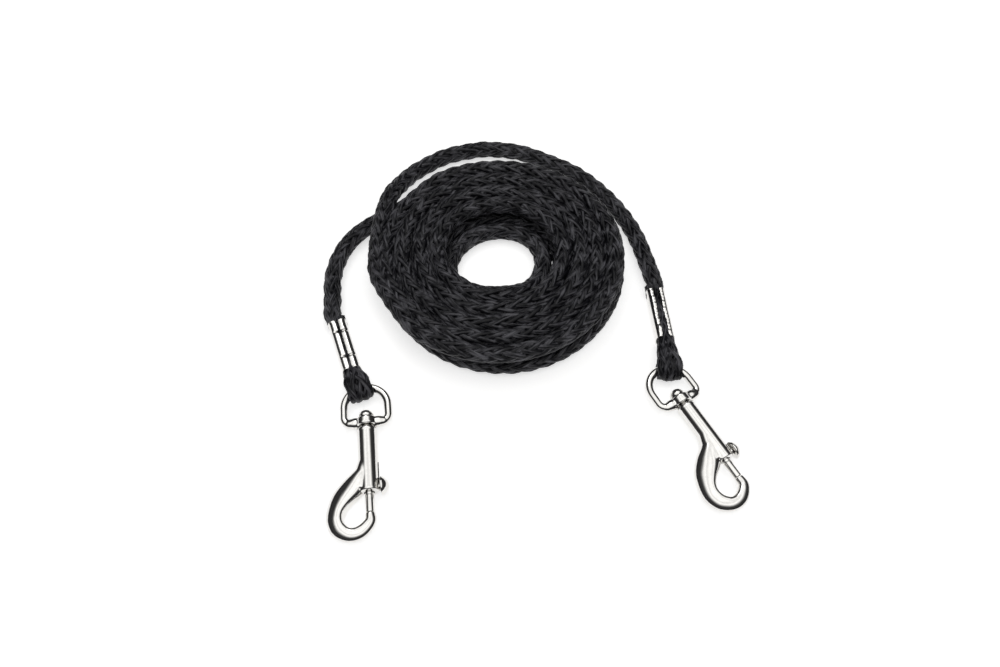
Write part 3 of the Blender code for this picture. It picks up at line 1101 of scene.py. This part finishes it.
def joinInto(bm, other):
    mesh = bpy.data.meshes.new("part")
    other.to_mesh(mesh)
    other.free()
    bm.from_mesh(mesh)
    bpy.data.meshes.remove(mesh)


def cast(name, parts, voxel, smoothing):  # runs shapes together with soft inner corners
    bm = parts[0]
    for other in parts[1:]:
        joinInto(bm, other)
    obj = objectFrom(name, bm)
    remesh = obj.modifiers.new("cast", "REMESH")
    remesh.mode = "VOXEL"
    remesh.voxel_size = voxel * mm
    smooth = obj.modifiers.new("soften", "SMOOTH")
    smooth.factor = 0.5
    smooth.iterations = smoothing
    return settle(obj)


def makeEyeShape():
    corner, half = eye["cornerR"], hardware["eyeHalfWidth"]
    line = []
    for k in range(41):
        turn = heading(180 * k / 40)
        line.append(Vector((hardware["eyeArcU"] - half * turn.y, half * turn.x, 0)))
    for centre, first in ((corner - half, 180), (half - corner, 270)):
        for k in range(9):
            turn = heading(first + 90 * k / 8)
            line.append(Vector((eye["barU"] - corner - turn.y * corner, centre + turn.x * corner, 0)))
    ring = planeTube(line, [eye["wireR"]] * len(line), 20, True)
    side = [(half - share * eye["barR"], size * eye["barR"]) for share, size in eye["barEnd"]]
    outline = [*((-along, radius) for along, radius in side), *reversed(side)]
    bar = turned(rounded(outline, eye["barRounding"]), 28)
    bar.transform(Matrix.Translation((eye["barU"], 0, 0)) @ Matrix.Rotation(math.pi / 2, 4, "Z"))
    boss = turned(rounded(rod(eye["bossSpan"], eye["bossR"]), eye["bossRounding"]), 40)
    shape = cast("eyeShape", [ring, bar, boss], eye["voxel"], eye["smoothing"])
    bore = objectFrom("eyeBore", turned(rod(eye["boreSpan"], eye["boreR"]), 40))
    combine(shape, bore, "DIFFERENCE")
    settle(shape, 50)
    drop(bore)
    return shape


snap = {  # outlines are pairs of place along U and radius
    "head": ((-6.6, 0), (-6.5, 0.9), (-6.1, 1.75), (-5.5, 2.35), (-4.8, 2.68), (-4.2, 2.72), (-3.8, 2.45)),
    "stem": ((-3.8, 1.45), (0, 1.45)),
    "collar": ((0, 1.6), (0, 2.7), (0.9, 3.6), (2.0, 3.6), (2.5, 2.8), (3.0, 3.15)),
    "collarRounding": 0.35,
    "barrelR": 3.5,
    "barrelSpan": (0.9, 24.1),
    "barrelRounding": 0.5,
    "boreR": 1.8,
    "boreSpan": (4.0, 31.4),
    "slotSpan": (13.6, 23.7),
    "slotHalf": 1.15,
    "slotDepth": 6.0,
    "voxel": 0.2,
    "smoothing": 24,
}
hookLine = (  # middle in U and V, half width, half thickness, how far its top leans inwards
    (10.0, 0.0, 3.1, 3.0, 0.0),
    (13.0, -0.1, 3.2, 3.1, 0.0),
    (16.0, -0.9, 3.1, 3.3, 0.0),
    (18.8, -3.0, 3.6, 3.4, 0.0),
    (21.7, -5.5, 4.3, 3.4, 0.15),
    (25.1, -9.0, 3.9, 3.2, 0.35),
    (28.9, -11.2, 3.2, 3.1, 0.42),
    (32.5, -11.7, 3.0, 3.0, 0.42),
    (35.8, -10.3, 2.8, 2.7, 0.42),
    (37.9, -6.9, 2.4, 2.3, 0.35),
    (37.2, -3.1, 2.3, 2.1, 0.3),
    (34.2, -0.1, 2.0, 1.8, 0.2),
    (31.0, 0.0, 1.7, 1.6, 0.0),
)


webLine = (  # fills the corner between barrel and hook
    (13.0, -0.6, 2.9, 3.2, 0.0),
    (18.0, -1.9, 3.3, 3.35, 0.0),
    (22.9, -2.7, 3.0, 3.15, 0.0),
)


def castTube(line):
    line = smoothLine(line, 8)
    rings = []
    for k, here in enumerate(line):
        step = line[min(k + 1, len(line) - 1)] - line[max(k - 1, 0)]
        along = Vector((step[0], step[1], 0)).normalized()
        ring = []
        for j in range(36):
            turn = heading(360 * j / 36)
            out = across(along) * (turn.x + here[4] * turn.y**2) * here[2]
            ring.append((here[0] + out.x, here[1] + out.y, turn.y * here[3]))
        rings.append(ring)
    return skin(rings)


def makeBodyShape():
    barrel = turned(rounded(rod(snap["barrelSpan"], snap["barrelR"]), snap["barrelRounding"]), 48)
    parts = [barrel, castTube(hookLine), castTube(webLine)]
    shape = cast("bodyShape", parts, snap["voxel"], snap["smoothing"])
    collar = rounded(snap["collar"], snap["collarRounding"])
    profile = [*snap["head"], *snap["stem"], *collar, (snap["collar"][-1][0], 0)]
    neck = objectFrom("neck", turned(profile, 48))
    bore = objectFrom("bore", turned(rod(snap["boreSpan"], snap["boreR"]), 40))
    start, stop = snap["slotSpan"]
    half = snap["slotHalf"]
    outline = []
    for centre, first in ((start + half, 90), (stop - half, 270)):
        for k in range(9):
            turn = heading(first + 180 * k / 8) * half
            outline.append((centre + turn.x, turn.y))
    slot = objectFrom("slot", skin([[(u, v, w) for u, w in outline] for v in (0.0, snap["slotDepth"])]))
    combine(shape, neck, "UNION")
    combine(shape, bore, "DIFFERENCE")
    combine(shape, slot, "DIFFERENCE")
    settle(shape, 42)
    drop(neck, bore, slot)
    return shape


bolt = {"radius": 1.5, "span": (17.4, 31.1), "groove": 24.9, "grooveDepth": 0.12, "rounding": 0.3}
knob = {
    "u": 22.3,
    "outline": (  # distance from the barrel's axis, then radius
        (1.8, 0),
        (1.8, 0.95),
        (3.85, 0.95),
        (3.85, 2.9),
        (4.15, 3.2),
        (4.6, 3.2),
        (5.3, 2.75),
        (6.0, 2.0),
        (6.5, 1.1),
        (6.7, 0),
    ),
    "rounding": 0.45,
}
spring = {"start": 4.3, "stop": 17.1, "radius": 1.2, "wireR": 0.2, "turns": 9}


def makeBoltShape():
    first, second, third, last = rod(bolt["span"], bolt["radius"])
    radius, groove = bolt["radius"], bolt["groove"]
    dip = ((groove, radius), (groove + 0.15, radius - bolt["grooveDepth"]), (groove + 0.3, radius))
    outline = (first, second, *dip, third, last)
    return objectFrom("boltShape", turned(rounded(outline, bolt["rounding"]), 40))


def makeKnobShape():
    bm = turned(rounded(knob["outline"], knob["rounding"]), 40)
    bm.transform(Matrix.Translation((knob["u"], 0, 0)) @ Matrix.Rotation(math.pi / 2, 4, "Z"))
    return objectFrom("knobShape", bm)


def springTree():
    sockets = (
        ("Turns", "Float"),
        ("Radius", "Float"),
        ("Length", "Float"),
        ("Wire radius", "Float"),
        ("Material", "Material"),
    )
    graph, given = newTree("coilSpring", sockets)
    helix = graph.add(
        "GeometryNodeCurveSpiral",
        inputs={
            "Resolution": 24,
            "Rotations": given["Turns"],
            "Start Radius": given["Radius"],
            "End Radius": given["Radius"],
            "Height": given["Length"],
        },
    )
    section = graph.add(
        "GeometryNodeCurvePrimitiveCircle", inputs={"Resolution": 8, "Radius": given["Wire radius"]}
    )
    wire = graph.add(
        "GeometryNodeCurveToMesh", inputs={"Curve": helix, "Profile Curve": section, "Fill Caps": True}
    )
    return finishTree(graph, wire, given["Material"])


def makeSpringShape():
    obj = link(bpy.data.objects.new("springShape", bpy.data.meshes.new("springShape")))
    values = {
        "Turns": float(spring["turns"]),
        "Radius": spring["radius"] * mm,
        "Length": (spring["stop"] - spring["start"]) * mm,
        "Wire radius": spring["wireR"] * mm,
        "Material": drawnSteel,
    }
    addNodes(obj, springTree(), values)
    settle(obj)
    place = Matrix.Translation((spring["start"] * mm, 0, 0)) @ Matrix.Rotation(math.pi / 2, 4, "Y")
    obj.data.transform(place)
    return obj


shapes = {
    "eye": settle(makeEyeShape(), 50),
    "body": makeBodyShape(),
    "bolt": settle(makeBoltShape(), 35),
    "knob": settle(makeKnobShape(), 35),
    "spring": makeSpringShape(),
}
print("snap shapes made")

hardwareParts = (  # shape, frame, piece, body, CAD node, material, slot
    ("eye", "eyeFrame", "wire_eye", "eye", "swivel_eye", castNickel, "nickel_plate"),
    ("body", "snapFrame", "cast_snap", "snap", "snap_body", castNickel, "nickel_plate"),
    ("bolt", "snapFrame", "spring_bolt", "bolt", "snap_bolt", sheetNickel, "nickel_plate"),
    ("knob", "snapFrame", "domed_knob", "bolt", "thumb_knob", castNickel, "nickel_plate"),
    ("spring", "snapFrame", "closing_spring", "snap", "bolt_spring", drawnSteel, "spring_steel"),
)
for side in sides:
    end = ends[side]
    for shape, place, piece, body, node, material, slot in hardwareParts:
        obj = copyInto(shapes[shape], f"{piece}_{side}", end[place], material)
        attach(obj, f"{body}_{side}")
        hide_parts(f"{node}_{side}")
        if shape == "spring":
            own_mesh(obj)
    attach(ferrules[side], "lead")
    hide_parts(f"ferrule_{side}")
    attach(folds[side], "lead")
    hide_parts(f"cord_loop_{side}", f"cord_core_{side}", f"cord_tail_{side}")
drop(*shapes.values())

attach(cord, "lead")
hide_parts("cord_coil", "cord_lead_left", "cord_lead_right")
print("pieces placed on their bodies")
